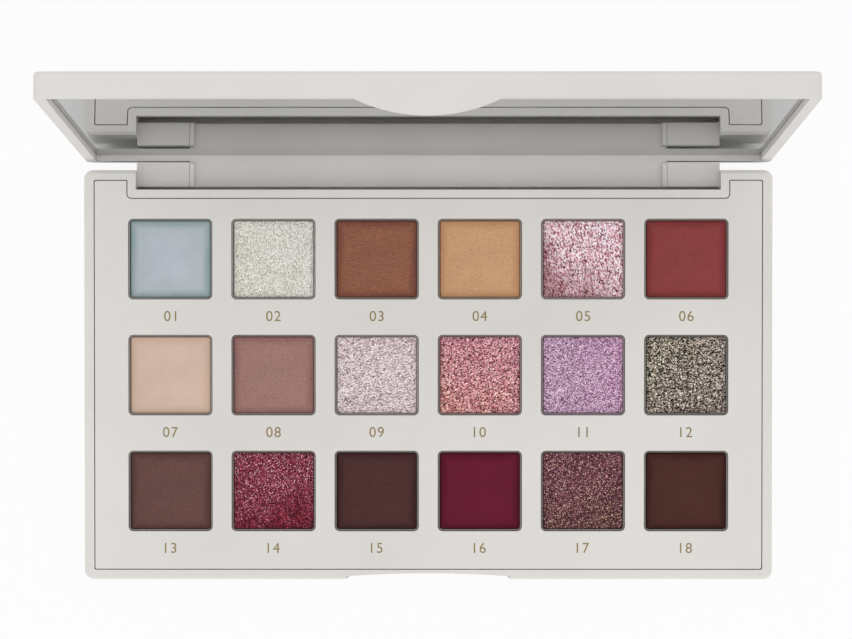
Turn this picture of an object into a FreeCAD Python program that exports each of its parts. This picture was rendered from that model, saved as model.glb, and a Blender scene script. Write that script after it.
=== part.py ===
import FreeCAD, Part
import math
import os
import re

import Sketcher

# Eyeshadow palette with eighteen pans and a hinged mirror lid, in millimetres.
# The origin is the centre of the underside: +X to the right, +Y to the hinge, +Z up.
# The lid is drawn closed and then swung open about the hinge axis.

# Sizes that are set by hand.
DRIVING_SIZES = {
    # Casing
    "base_width": 168.0,
    "base_depth": 100.0,
    "base_height": 9.6,
    "corner_radius": 2.2,
    "base_edge_round": 0.6,
    "base_foot_round": 0.8,
    "rim_width": 2.35,
    "seat_corner": 0.5,
    "ledge_width": 1.5,
    "floor_thickness": 1.4,
    "rib_width": 1.6,
    # Thumb scoop in the front wall
    "scoop_width": 40.3,
    "scoop_depth": 1.5,
    "scoop_end_depth": 0.75,
    "scoop_draft": 6.0,
    "scoop_overrun": 3.0,
    # Hinge
    "hinge_setback": 2.4,
    "hinge_drop": 4.27,
    "hinge_wall": 3.6,
    "notch_width": 142.8,
    "notch_depth": 4.75,
    "notch_rim": 2.0,
    "notch_corner": 1.0,
    "notch_overrun": 6.0,
    "notch_floor": 0.5,
    "notch_lip": 1.2,
    "notch_undercut": 1.4,
    "knuckle_length": 12.8,
    "bar_width": 5.9,
    "bar_foot_taper": 1.2,
    "bar_behind": 1.3,
    "bar_above": 0.75,
    "bar_waist": 1.9,
    "bar_below": 4.1,
    "bar_edge_round": 0.25,
    "bar_end_gap": 0.08,
    "neck_drop": 1.1,
    "neck_overrun": 0.2,
    "collar_width": 1.1,
    "swing_clearance": 0.2,
    "swing_overrun": 4.0,
    "pin_radius": 0.4,
    "pin_press": 0.01,
    "pin_play": 0.05,
    "pin_reach": 0.75,
    "pin_recess": 0.3,
    "pin_end_gap": 0.15,
    # Deck with its wells
    "deck_gap": 0.25,
    "deck_thickness": 1.4,
    "columns": 6,
    "rows": 3,
    "side_margin": 8.15,
    "end_margin": 9.225,
    "column_web": 4.7,
    "row_web": 8.7,
    "well_corner": 1.2,
    "well_edge_round": 0.25,
    "cup_wall": 0.9,
    "cup_floor": 0.8,
    # Pans, glue and powder
    "pan_clearance": 0.15,
    "pan_sink": 0.7,
    "pan_height": 4.2,
    "pan_wall": 0.25,
    "pan_floor": 0.4,
    "pan_foot_round": 0.35,
    "glue_radius": 3.0,
    "glue_thickness": 0.2,
    "powder_clearance": 0.05,
    "powder_sink": 0.1,
    "powder_edge_round": 0.3,
    # Magnets
    "magnet_radius": 2.5,
    "magnet_thickness": 1.8,
    "magnet_clearance": 0.05,
    "magnet_spacing": 100.8,
    "socket_wall": 0.8,
    # Lid and mirror
    "lid_gap": 0.5,
    "lid_height": 5.65,
    "lid_rim": 2.5,
    "lid_inner_corner": 0.8,
    "lid_edge_round": 0.6,
    "mirror_sink": 1.55,
    "mirror_thickness": 1.3,
    "mirror_clearance": 0.2,
    "adhesive_thickness": 0.15,
    "adhesive_inset": 1.0,
    "tab_width": 32.3,
    "tab_drop": 3.85,
    "tab_thickness": 0.8,
    "tab_root": 1.5,
    "open_angle": 96.0,
}

# Sizes and places that follow from those above.
DERIVED_SIZES = {
    "front_y": "-base_depth / 2",
    "rear_y": "base_depth / 2",
    "seat_width": "base_width - 2 * rim_width",
    "seat_depth": "base_depth - 2 * rim_width",
    "seat_floor": "base_height - deck_thickness",
    "lid_plane": "base_height + lid_gap",
    # Hinge
    "hinge_y": "rear_y - hinge_setback",
    "hinge_z": "base_height - hinge_drop",
    "hinge_reach": "hinge_drop + lid_gap",
    "swing_radius": "hinge_reach - swing_clearance",
    "notch_front": "rear_y - notch_depth",
    "knuckle_end": "notch_width / 2",
    "knuckle_start": "knuckle_end - knuckle_length",
    "bar_end": "knuckle_start - bar_end_gap",
    "pin_start": "bar_end - pin_reach",
    "pin_length": "base_width / 2 - pin_recess - pin_start",
    "pin_bore_radius": "pin_radius - pin_press",
    "bar_bore_radius": "pin_radius + pin_play",
    "bar_bore_depth": "pin_reach + pin_end_gap",
    # Room under the deck
    "cavity_width": "seat_width - 2 * ledge_width",
    "cavity_front": "front_y + rim_width + ledge_width",
    "cavity_rear": "notch_front - hinge_wall",
    # Deck and wells
    "deck_width": "seat_width - 2 * deck_gap",
    "deck_depth": "seat_depth - 2 * deck_gap",
    "well_span": "deck_width - 2 * side_margin",
    "well_width": "(well_span - (columns - 1) * column_web) / columns",
    "well_length": "(deck_depth - 2 * end_margin - (rows - 1) * row_web) / rows",
    "column_pitch": "well_width + column_web",
    "row_pitch": "well_length + row_web",
    "first_well_x": "-(columns - 1) * column_pitch / 2",
    "first_well_y": "(rows - 1) * row_pitch / 2",
    "well_floor": "base_height - pan_sink - pan_height - glue_thickness",
    "cup_bottom": "well_floor - cup_floor",
    # Pans and powder
    "pan_width": "well_width - 2 * pan_clearance",
    "pan_length": "well_length - 2 * pan_clearance",
    "pan_corner": "well_corner - pan_clearance",
    "pan_bottom": "well_floor + glue_thickness",
    "powder_width": "pan_width - 2 * pan_wall - 2 * powder_clearance",
    "powder_length": "pan_length - 2 * pan_wall - 2 * powder_clearance",
    "powder_corner": "pan_corner - pan_wall - powder_clearance",
    "powder_bottom": "pan_bottom + pan_floor",
    "powder_height": "pan_height - pan_floor - powder_sink",
    # Magnets
    "cup_front": "-first_well_y - well_length / 2 - cup_wall",
    "magnet_y": "(cavity_front + cup_front) / 2",
    "magnet_bore_radius": "magnet_radius + magnet_clearance",
    "socket_radius": "magnet_bore_radius + socket_wall",
    # Lid, from the plane where it meets the casing upwards
    "recess_width": "base_width - 2 * lid_rim",
    "recess_depth": "base_depth - 2 * lid_rim",
    "mirror_face": "lid_plane + mirror_sink",
    "adhesive_face": "mirror_face + mirror_thickness",
    "recess_floor": "adhesive_face + adhesive_thickness",
    "scoop_bow": "scoop_depth - scoop_end_depth",
    "scoop_radius": "(scoop_width ^ 2 / 4 + scoop_bow ^ 2) / (2 * scoop_bow)",
    "tab_radius": "(tab_width ^ 2 / 4 + tab_drop ^ 2) / (2 * tab_drop)",
}

LEFT_AND_RIGHT = (("left", -1), ("right", 1))

doc = FreeCAD.newDocument("eyeshadow_palette")
sheet = doc.addObject("Spreadsheet::Sheet", "sizes")
for cell, (alias, value) in enumerate({**DRIVING_SIZES, **DERIVED_SIZES}.items(), start=1):
    content = str(value) if alias in DRIVING_SIZES else "=" + value
    sheet.set("A%d" % cell, alias)
    sheet.set("B%d" % cell, content)
    sheet.setAlias("B%d" % cell, alias)
doc.recompute()

sub_parts = []


def from_sheet(expression):
    """Write the names of sizes in an expression as cells of the sheet."""
    return re.sub(r"[a-z]\w*", lambda name: "sizes." + name.group(0), expression)


def size(expression):
    """Work out an expression of sizes as a plain number."""
    return float(sheet.evalExpression(from_sheet(expression)))


def bind(item, **properties):
    """Bind properties of an object to expressions of sizes."""
    for name, expression in properties.items():
        item.setExpression(name, from_sheet(expression))


def place(item, x="0", y="0", z="0"):
    """Bind the position of an object to expressions of sizes."""
    for axis, expression in (("x", x), ("y", y), ("z", z)):
        item.setExpression(".Placement.Base." + axis, from_sheet(expression))


def swing_open(item):
    """Turn a closed lid piece about the hinge axis to the open angle."""
    hinge = "vector(0; sizes.hinge_y; sizes.hinge_z)"
    turn = "rotation(vector(1; 0; 0); -sizes.open_angle)"
    item.setExpression("Placement", "placement(vector(0; 0; 0); %s; %s)" % (turn, hinge))


def sub_part(item, label):
    """Name a finished piece and list it for writing."""
    item.Label = label
    sub_parts.append(item)
    return item


def new_body(label):
    return sub_part(doc.addObject("PartDesign::Body", label), label)


def origin_feature(body, role):
    return next(feature for feature in body.Origin.OriginFeatures if feature.Role == role)


def new_sketch(body, name, plane, x="0", y="0", z="0"):
    """Start a sketch on one of the body's own planes, moved by sizes in the sketch's axes."""
    sketch = body.newObject("Sketcher::SketchObject", name)
    sketch.AttachmentSupport = [(origin_feature(body, plane), "")]
    sketch.MapMode = "FlatFace"
    for axis, expression in (("x", x), ("y", y), ("z", z)):
        sketch.setExpression(".AttachmentOffset.Base." + axis, from_sheet(expression))
    return sketch


def dimension(sketch, name, constraint, expression):
    """Add a named dimension and bind it to an expression of sizes."""
    index = sketch.addConstraint(constraint)
    sketch.renameConstraint(index, name)
    sketch.setExpression("Constraints." + name, from_sheet(expression))


def chain(sketch, shapes, link):
    """Add shapes end to end and join each to the next with one kind of constraint."""
    ids = [sketch.addGeometry(shape, False) for shape in shapes]
    for here, following in zip(ids, ids[1:] + ids[:1]):
        sketch.addConstraint(Sketcher.Constraint(link, here, 2, following, 1))
    return ids


def line(start, end):
    return Part.LineSegment(FreeCAD.Vector(*start, 0), FreeCAD.Vector(*end, 0))


def arc(centre, radius, start_angle, end_angle):
    circle_shape = Part.Circle(FreeCAD.Vector(*centre, 0), FreeCAD.Vector(0, 0, 1), radius)
    return Part.ArcOfCircle(circle_shape, start_angle, end_angle)


def rectangle(sketch, width, depth):
    """Draw a rectangle with sharp corners, centred on the sketch's origin."""
    x = size(width) / 2
    y = size(depth) / 2
    corners = [(-x, -y), (x, -y), (x, y), (-x, y)]
    sides = [line(start, end) for start, end in zip(corners, corners[1:] + corners[:1])]
    front, right, rear, left = chain(sketch, sides, "Coincident")
    sketch.addConstraint([Sketcher.Constraint("Horizontal", front), Sketcher.Constraint("Horizontal", rear)])
    sketch.addConstraint([Sketcher.Constraint("Vertical", right), Sketcher.Constraint("Vertical", left)])
    sketch.addConstraint(Sketcher.Constraint("Symmetric", front, 1, rear, 1, -1, 1))
    dimension(sketch, "width", Sketcher.Constraint("DistanceX", front, 1, front, 2, 2 * x), width)
    dimension(sketch, "depth", Sketcher.Constraint("DistanceY", right, 1, right, 2, 2 * y), depth)
    return sketch


def rounded_rectangle(sketch, width, depth, radius):
    """Draw a rectangle with round corners, centred on the sketch's origin."""
    x = size(width) / 2
    y = size(depth) / 2
    r = size(radius)
    quarter = math.pi / 2
    shapes = [
        line((-x + r, -y), (x - r, -y)),
        arc((x - r, -y + r), r, -quarter, 0),
        line((x, -y + r), (x, y - r)),
        arc((x - r, y - r), r, 0, quarter),
        line((x - r, y), (-x + r, y)),
        arc((-x + r, y - r), r, quarter, 2 * quarter),
        line((-x, y - r), (-x, -y + r)),
        arc((-x + r, -y + r), r, 2 * quarter, 3 * quarter),
    ]
    front, corner, right, far_corner, rear, opposite, left, last = chain(sketch, shapes, "Tangent")
    sketch.addConstraint([Sketcher.Constraint("Horizontal", front), Sketcher.Constraint("Horizontal", rear)])
    sketch.addConstraint([Sketcher.Constraint("Vertical", right), Sketcher.Constraint("Vertical", left)])
    for other in (far_corner, opposite, last):
        sketch.addConstraint(Sketcher.Constraint("Equal", corner, other))
    sketch.addConstraint(Sketcher.Constraint("Symmetric", corner, 3, opposite, 3, -1, 1))
    dimension(sketch, "radius", Sketcher.Constraint("Radius", corner, r), radius)
    dimension(sketch, "width", Sketcher.Constraint("DistanceX", left, 1, right, 1, 2 * x), width)
    dimension(sketch, "depth", Sketcher.Constraint("DistanceY", front, 1, rear, 2, 2 * y), depth)
    return sketch


def circle(sketch, radius):
    """Draw a circle about the sketch's origin."""
    shape = Part.Circle(FreeCAD.Vector(0, 0, 0), FreeCAD.Vector(0, 0, 1), size(radius))
    index = sketch.addGeometry(shape, False)
    sketch.addConstraint(Sketcher.Constraint("Coincident", index, 3, -1, 1))
    dimension(sketch, "radius", Sketcher.Constraint("Radius", index, size(radius)), radius)
    return sketch


def pad(sketch, length, symmetric=False, backwards=False):
    """Thicken a sketch along its normal, to both sides or backwards where told."""
    body = sketch.getParentGeoFeatureGroup()
    feature = body.newObject("PartDesign::Pad", sketch.Name + "_pad")
    feature.Profile = sketch
    feature.Reversed = backwards
    feature.SideType = "Symmetric" if symmetric else "One side"
    bind(feature, Length=length)
    doc.recompute()
    return feature


def pocket(sketch, length, symmetric=False, backwards=False, draft=None):
    """Cut a sketch out against its normal, and make sure that something was cut."""
    body = sketch.getParentGeoFeatureGroup()
    volume_before = body.Shape.Volume
    feature = body.newObject("PartDesign::Pocket", sketch.Name + "_cut")
    feature.Profile = sketch
    feature.Reversed = backwards
    feature.SideType = "Symmetric" if symmetric else "One side"
    bind(feature, Length=length)
    if draft:
        bind(feature, TaperAngle=draft)
    doc.recompute()
    if body.Shape.Volume >= volume_before:
        raise RuntimeError(feature.Name + " cuts nothing")
    return feature


def grid(feature):
    """Repeat a feature over the columns and rows of wells."""
    body = feature.getParentGeoFeatureGroup()
    pattern = body.newObject("PartDesign::LinearPattern", feature.Name + "_grid")
    pattern.Originals = [feature]
    pattern.Direction = (origin_feature(body, "X_Axis"), [""])
    pattern.Direction2 = (origin_feature(body, "Y_Axis"), [""])
    pattern.Reversed2 = True
    bind(pattern, Length="(columns - 1) * column_pitch", Occurrences="columns")
    bind(pattern, Length2="(rows - 1) * row_pitch", Occurrences2="rows")
    body.Tip = pattern
    doc.recompute()
    return pattern


def round_edges(body, radius, chosen):
    """Round the edges of a body that a test picks out."""
    base = body.Tip
    names = ["Edge%d" % number for number, edge in enumerate(base.Shape.Edges, start=1) if chosen(edge)]
    fillet = body.newObject("PartDesign::Fillet", body.Name + "_round")
    fillet.Base = (base, names)
    bind(fillet, Radius=radius)
    doc.recompute()
    return fillet


def level(edge, height):
    """Tell whether an edge lies flat at a height."""
    box = edge.BoundBox
    tolerance = 1e-4
    return abs(box.ZMin - height) < tolerance and abs(box.ZMax - height) < tolerance


def cylinder(name, radius, height):
    shape = doc.addObject("Part::Cylinder", name)
    bind(shape, Radius=radius, Height=height)
    return shape


def group(label, shapes):
    """Gather separate solids in one named piece."""
    compound = doc.addObject("Part::Compound", label)
    compound.Links = shapes
    return sub_part(compound, label)


def well_places():
    """Give the number, X and Y of each well, row by row from the rear left."""
    columns = int(size("columns"))
    for number in range(columns * int(size("rows"))):
        row, column = divmod(number, columns)
        x = "first_well_x + %d * column_pitch" % column
        y = "first_well_y - %d * row_pitch" % row
        yield number + 1, x, y


# Hinge bar: the knuckles of the casing and the lid's barrel share one six-sided section


def new_bar_sketch(body, name, start, turn):
    """Place a sketch across the hinge with its origin on the pins, turned as the bar is."""
    sketch = new_sketch(body, name, "YZ_Plane", x="hinge_y", y="hinge_z", z=start)
    sketch.setExpression(".AttachmentOffset.Rotation.Angle", from_sheet(turn))
    return sketch


def round_bar_corners(body, corners, length, turn):
    """Round the long edges that run through corners of the bar's section."""
    turned = math.radians(size(turn))
    places = []
    for y, z in corners:
        places.append((size("hinge_y") + y * math.cos(turned) - z * math.sin(turned),
                       size("hinge_z") + y * math.sin(turned) + z * math.cos(turned)))

    def runs_through_a_corner(edge):
        middle = edge.BoundBox.Center
        return abs(edge.BoundBox.XLength - size(length)) < 1e-3 and any(
            math.hypot(middle.y - y, middle.z - z) < 1e-3 for y, z in places)

    round_edges(body, "bar_edge_round", runs_through_a_corner)


def add_hinge_bar(body, name, start, length, turn="0"):
    """Pad a stretch of hinge bar, drawn about the pins as it lies with the lid open and then turned."""
    sketch = new_bar_sketch(body, name, start, turn)
    left = -size("bar_width / 2 - bar_behind")
    right = size("bar_width / 2 + bar_behind")
    top_z = size("bar_above")
    waist = -size("bar_waist")
    foot_z = -size("bar_below")
    taper = size("bar_foot_taper")
    corners = [
        (left, top_z),
        (right, top_z),
        (right, waist),
        (right - taper, foot_z),
        (left + taper, foot_z),
        (left, waist),
    ]
    sides = [line(here, there) for here, there in zip(corners, corners[1:] + corners[:1])]
    top, rear, rear_foot, foot, front_foot, front = chain(sketch, sides, "Coincident")
    sketch.addConstraint([Sketcher.Constraint("Horizontal", top), Sketcher.Constraint("Horizontal", foot)])
    sketch.addConstraint([Sketcher.Constraint("Vertical", rear), Sketcher.Constraint("Vertical", front)])
    sketch.addConstraint(Sketcher.Constraint("Horizontal", rear, 2, front, 1))
    dimension(sketch, "above", Sketcher.Constraint("DistanceY", -1, 1, top, 1, top_z), "bar_above")
    dimension(sketch, "waist", Sketcher.Constraint("DistanceY", rear, 2, -1, 1, -waist), "bar_waist")
    dimension(sketch, "below", Sketcher.Constraint("DistanceY", foot, 1, -1, 1, -foot_z), "bar_below")
    dimension(sketch, "rear", Sketcher.Constraint("DistanceX", -1, 1, rear, 1, right),
              "bar_width / 2 + bar_behind")
    dimension(sketch, "width", Sketcher.Constraint("DistanceX", top, 1, top, 2, right - left), "bar_width")
    for label, side in (("rear_taper", rear_foot), ("front_taper", front_foot)):
        inward = Sketcher.Constraint("DistanceX", side, 2, side, 1, taper)
        dimension(sketch, label, inward, "bar_foot_taper")
    pad(sketch, length)
    round_bar_corners(body, corners, length, turn)


def lower_bar_neck(body, length, turn):
    """Lower the middle of the lid's bar, which leaves a collar round each pin."""
    sketch = new_bar_sketch(body, "bar_neck", "0", turn)
    depth = "neck_drop + neck_overrun"
    width = "bar_width + 2 * neck_overrun"
    above = "bar_above + neck_overrun"
    behind = "bar_width / 2 + bar_behind + neck_overrun"
    left = size("%s - (%s)" % (behind, width))
    right = size(behind)
    neck_z = size("%s - (%s)" % (above, depth))
    top_z = size(above)
    corners = [(left, neck_z), (right, neck_z), (right, top_z), (left, top_z)]
    sides = [line(here, there) for here, there in zip(corners, corners[1:] + corners[:1])]
    flat, rear, top, front = chain(sketch, sides, "Coincident")
    sketch.addConstraint([Sketcher.Constraint("Horizontal", flat), Sketcher.Constraint("Horizontal", top)])
    sketch.addConstraint([Sketcher.Constraint("Vertical", rear), Sketcher.Constraint("Vertical", front)])
    dimension(sketch, "depth", Sketcher.Constraint("DistanceY", rear, 1, rear, 2, top_z - neck_z), depth)
    dimension(sketch, "above", Sketcher.Constraint("DistanceY", -1, 1, top, 1, top_z), above)
    dimension(sketch, "width", Sketcher.Constraint("DistanceX", flat, 1, flat, 2, right - left), width)
    dimension(sketch, "behind", Sketcher.Constraint("DistanceX", -1, 1, rear, 1, right), behind)
    pocket(sketch, length, symmetric=True)
    overrun = size("neck_overrun")
    round_bar_corners(body, [(left + overrun, neck_z), (right - overrun, neck_z)], length, turn)


# Casing


def cut_scoop(body):
    """Hollow the front wall for a thumb, less deep towards the foot."""
    sketch = new_sketch(body, "scoop", "XY_Plane", y="front_y", z="base_height")
    half_width = size("scoop_width / 2")
    end_depth = size("scoop_end_depth")
    overrun = size("scoop_overrun")
    radius = size("scoop_radius")
    half_angle = math.asin(half_width / radius)
    crown = (0, end_depth - radius * math.cos(half_angle))
    shapes = [
        arc(crown, radius, math.pi / 2 - half_angle, math.pi / 2 + half_angle),
        line((-half_width, end_depth), (-half_width, -overrun)),
        line((-half_width, -overrun), (half_width, -overrun)),
        line((half_width, -overrun), (half_width, end_depth)),
    ]
    bow, left, outside, right = chain(sketch, shapes, "Coincident")
    sketch.addConstraint([Sketcher.Constraint("Vertical", left), Sketcher.Constraint("Vertical", right)])
    sketch.addConstraint(Sketcher.Constraint("Symmetric", bow, 1, bow, 2, -2))
    dimension(sketch, "width", Sketcher.Constraint("DistanceX", bow, 2, bow, 1, 2 * half_width),
              "scoop_width")
    dimension(sketch, "bow", Sketcher.Constraint("Radius", bow, radius), "scoop_radius")
    dimension(sketch, "depth", Sketcher.Constraint("DistanceY", -1, 1, bow, 2, end_depth), "scoop_end_depth")
    dimension(sketch, "left_overrun", Sketcher.Constraint("DistanceY", left, 2, -1, 1, overrun),
              "scoop_overrun")
    dimension(sketch, "right_overrun", Sketcher.Constraint("DistanceY", right, 1, -1, 1, overrun),
              "scoop_overrun")
    pocket(sketch, "base_height", draft="-scoop_draft")


def cut_swing_relief(body):
    """Round the corners behind the hinge about its axis, so that the lid's rim swings past."""
    sketch = new_sketch(body, "swing_relief", "YZ_Plane", x="hinge_y", y="hinge_z")
    radius = size("swing_radius")
    far = radius + size("swing_overrun")
    shapes = [
        arc((0, 0), radius, 0, math.pi / 2),
        line((0, radius), (0, far)),
        line((0, far), (far, far)),
        line((far, far), (far, 0)),
        line((far, 0), (radius, 0)),
    ]
    round_side, inner, top, outer, foot = chain(sketch, shapes, "Coincident")
    sketch.addConstraint([Sketcher.Constraint("Vertical", inner), Sketcher.Constraint("Vertical", outer)])
    sketch.addConstraint([Sketcher.Constraint("Horizontal", top), Sketcher.Constraint("Horizontal", foot)])
    sketch.addConstraint(Sketcher.Constraint("Coincident", round_side, 3, -1, 1))
    sketch.addConstraint(Sketcher.Constraint("PointOnObject", inner, 1, -2))
    sketch.addConstraint(Sketcher.Constraint("PointOnObject", foot, 2, -1))
    sketch.addConstraint(Sketcher.Constraint("Equal", inner, foot))
    dimension(sketch, "radius", Sketcher.Constraint("Radius", round_side, radius), "swing_radius")
    dimension(sketch, "far", Sketcher.Constraint("DistanceY", inner, 1, inner, 2, far - radius),
              "swing_overrun")
    pocket(sketch, "base_width", symmetric=True)


def make_base_shell():
    body = new_body("base_shell")

    block = new_sketch(body, "block", "XY_Plane")
    pad(rounded_rectangle(block, "base_width", "base_depth", "corner_radius"), "base_height")
    round_edges(body, "base_edge_round", lambda edge: level(edge, size("base_height")))
    round_edges(body, "base_foot_round", lambda edge: level(edge, 0))

    seat = new_sketch(body, "seat", "XY_Plane", z="base_height")
    pocket(rounded_rectangle(seat, "seat_width", "seat_depth", "seat_corner"), "deck_thickness")

    cavity = new_sketch(body, "cavity", "XY_Plane", y="(cavity_front + cavity_rear) / 2", z="seat_floor")
    rounded_rectangle(cavity, "cavity_width", "cavity_rear - cavity_front", "seat_corner")
    pocket(cavity, "seat_floor - floor_thickness")

    ribs = new_sketch(body, "rib", "XY_Plane", y="first_well_y", z="floor_thickness")
    rib = pad(rectangle(ribs, "well_span", "rib_width"), "cup_bottom - floor_thickness")
    rows = body.newObject("PartDesign::LinearPattern", "rib_rows")
    rows.Originals = [rib]
    rows.Direction = (origin_feature(body, "Y_Axis"), [""])
    rows.Reversed = True
    bind(rows, Length="(rows - 1) * row_pitch", Occurrences="rows")
    body.Tip = rows
    doc.recompute()

    # The rim follows the hinge notch, its rear end buried in the rear rim.
    wall_front = "notch_front - notch_rim"
    wall_rear = "rear_y - rim_width / 2"
    wall_middle = "(%s + %s) / 2" % (wall_front, wall_rear)
    wall = new_sketch(body, "notch_wall", "XY_Plane", y=wall_middle, z="seat_floor")
    wall_depth = "%s - (%s)" % (wall_rear, wall_front)
    rounded_rectangle(wall, "notch_width + 2 * notch_rim", wall_depth, "notch_corner")
    pad(wall, "deck_thickness")

    notch_middle = "notch_front + (notch_depth + notch_overrun) / 2"
    notch = new_sketch(body, "notch", "XY_Plane", y=notch_middle, z="base_height")
    pocket(rectangle(notch, "notch_width", "notch_depth + notch_overrun"), "base_height - notch_floor")
    # Under its lip the notch is hollowed further forward.
    hollow = new_sketch(body, "notch_hollow", "XY_Plane", y="notch_front", z="base_height - notch_lip")
    pocket(rectangle(hollow, "notch_width", "2 * notch_undercut"), "base_height - notch_lip - notch_floor")
    for side, start in (("left", "-knuckle_end"), ("right", "knuckle_start")):
        add_hinge_bar(body, "knuckle_" + side, start, "knuckle_length")

    pin_bore = new_sketch(body, "pin_bore", "YZ_Plane", x="hinge_y", y="hinge_z")
    pocket(circle(pin_bore, "pin_bore_radius"), "base_width", symmetric=True)
    cut_swing_relief(body)
    cut_scoop(body)


# Deck, pans and powder


def make_pan_deck():
    body = new_body("pan_deck")

    plate = new_sketch(body, "plate", "XY_Plane", z="seat_floor")
    pad(rounded_rectangle(plate, "deck_width", "deck_depth", "seat_corner"), "deck_thickness")

    edge = "notch_front - notch_rim - deck_gap"
    notch_length = "notch_depth + notch_rim + notch_overrun"
    notch_middle = "%s + (%s) / 2" % (edge, notch_length)
    notch = new_sketch(body, "deck_notch", "XY_Plane", y=notch_middle, z="base_height")
    notch_width = "notch_width + 2 * notch_rim + 2 * deck_gap"
    pocket(rounded_rectangle(notch, notch_width, notch_length, "notch_corner + deck_gap"), "deck_thickness")

    cup = new_sketch(body, "cup", "XY_Plane", x="first_well_x", y="first_well_y", z="cup_bottom")
    rounded_rectangle(cup, "well_width + 2 * cup_wall", "well_length + 2 * cup_wall",
                      "well_corner + cup_wall")
    grid(pad(cup, "base_height - cup_bottom"))
    well = new_sketch(body, "well", "XY_Plane", x="first_well_x", y="first_well_y", z="base_height")
    rounded_rectangle(well, "well_width", "well_length", "well_corner")
    grid(pocket(well, "base_height - well_floor"))

    for side, sign in LEFT_AND_RIGHT:
        x = "%d * magnet_spacing / 2" % sign
        socket = new_sketch(body, "socket_" + side, "XY_Plane", x=x, y="magnet_y", z="seat_floor")
        pad(circle(socket, "socket_radius"), "magnet_thickness", backwards=True)
        bore = new_sketch(body, "socket_bore_" + side, "XY_Plane", x=x, y="magnet_y", z="seat_floor")
        pocket(circle(bore, "magnet_bore_radius"), "magnet_thickness")

    # Only the wells' own edges are shorter than the deck's outline and lie within the rows of wells.
    reach_x = size("well_span / 2") + 1e-3
    reach_y = size("first_well_y + well_length / 2") + 1e-3

    def round_a_well(edge):
        box = edge.BoundBox
        within = max(-box.XMin, box.XMax) < reach_x and max(-box.YMin, box.YMax) < reach_y
        return within and level(edge, size("base_height"))

    round_edges(body, "well_edge_round", round_a_well)


def make_pan(number, x, y):
    body = new_body("pan_%02d" % number)
    outside = new_sketch(body, "pan_outside", "XY_Plane")
    pad(rounded_rectangle(outside, "pan_width", "pan_length", "pan_corner"), "pan_height")
    round_edges(body, "pan_foot_round", lambda edge: level(edge, 0))
    inside = new_sketch(body, "pan_inside", "XY_Plane", z="pan_height")
    rounded_rectangle(inside, "pan_width - 2 * pan_wall", "pan_length - 2 * pan_wall",
                      "pan_corner - pan_wall")
    pocket(inside, "pan_height - pan_floor")
    place(body, x, y, "pan_bottom")


def make_powder(number, x, y):
    body = new_body("powder_%02d" % number)
    cake = new_sketch(body, "cake", "XY_Plane")
    pad(rounded_rectangle(cake, "powder_width", "powder_length", "powder_corner"), "powder_height")
    round_edges(body, "powder_edge_round", lambda edge: level(edge, size("powder_height")))
    place(body, x, y, "powder_bottom")


def make_glue_dots():
    dots = []
    for number, x, y in well_places():
        dot = cylinder("glue_dot_%02d" % number, "glue_radius", "glue_thickness")
        place(dot, x, y, "well_floor")
        dots.append(dot)
    group("pan_glue_dots", dots)


# Hinge pins and magnets


def make_hinge_pins():
    for side, start in (("left", "-(pin_start + pin_length)"), ("right", "pin_start")):
        pin = cylinder("hinge_pin_" + side, "pin_radius", "pin_length")
        pin.Placement = FreeCAD.Placement(FreeCAD.Vector(), FreeCAD.Rotation(FreeCAD.Vector(0, 1, 0), 90))
        place(pin, start, "hinge_y", "hinge_z")
        sub_part(pin, "hinge_pin_" + side)


def make_magnets(label, z):
    magnets = []
    for side, sign in LEFT_AND_RIGHT:
        magnet = cylinder("%s_%s" % (label, side), "magnet_radius", "magnet_thickness")
        place(magnet, "%d * magnet_spacing / 2" % sign, "magnet_y", z)
        magnets.append(magnet)
    return group(label, magnets)


# Lid


def add_thumb_tab(body):
    """Carry the lid's front face down past its rim in a shallow arc."""
    sketch = new_sketch(body, "thumb_tab", "XZ_Plane", y="lid_plane", z="-front_y")
    half_width = size("tab_width / 2")
    root = size("tab_root")
    radius = size("tab_radius")
    half_angle = math.asin(half_width / radius)
    centre = (0, radius - size("tab_drop"))
    shapes = [
        arc(centre, radius, 1.5 * math.pi - half_angle, 1.5 * math.pi + half_angle),
        line((half_width, 0), (half_width, root)),
        line((half_width, root), (-half_width, root)),
        line((-half_width, root), (-half_width, 0)),
    ]
    bow, right, top, left = chain(sketch, shapes, "Coincident")
    sketch.addConstraint([Sketcher.Constraint("Vertical", right), Sketcher.Constraint("Vertical", left)])
    sketch.addConstraint(Sketcher.Constraint("Horizontal", top))
    sketch.addConstraint(Sketcher.Constraint("Symmetric", bow, 1, bow, 2, -1, 1))
    dimension(sketch, "width", Sketcher.Constraint("DistanceX", bow, 1, bow, 2, 2 * half_width), "tab_width")
    dimension(sketch, "bow", Sketcher.Constraint("Radius", bow, radius), "tab_radius")
    dimension(sketch, "root", Sketcher.Constraint("DistanceY", right, 1, right, 2, root), "tab_root")
    pad(sketch, "tab_thickness", backwards=True)


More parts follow.
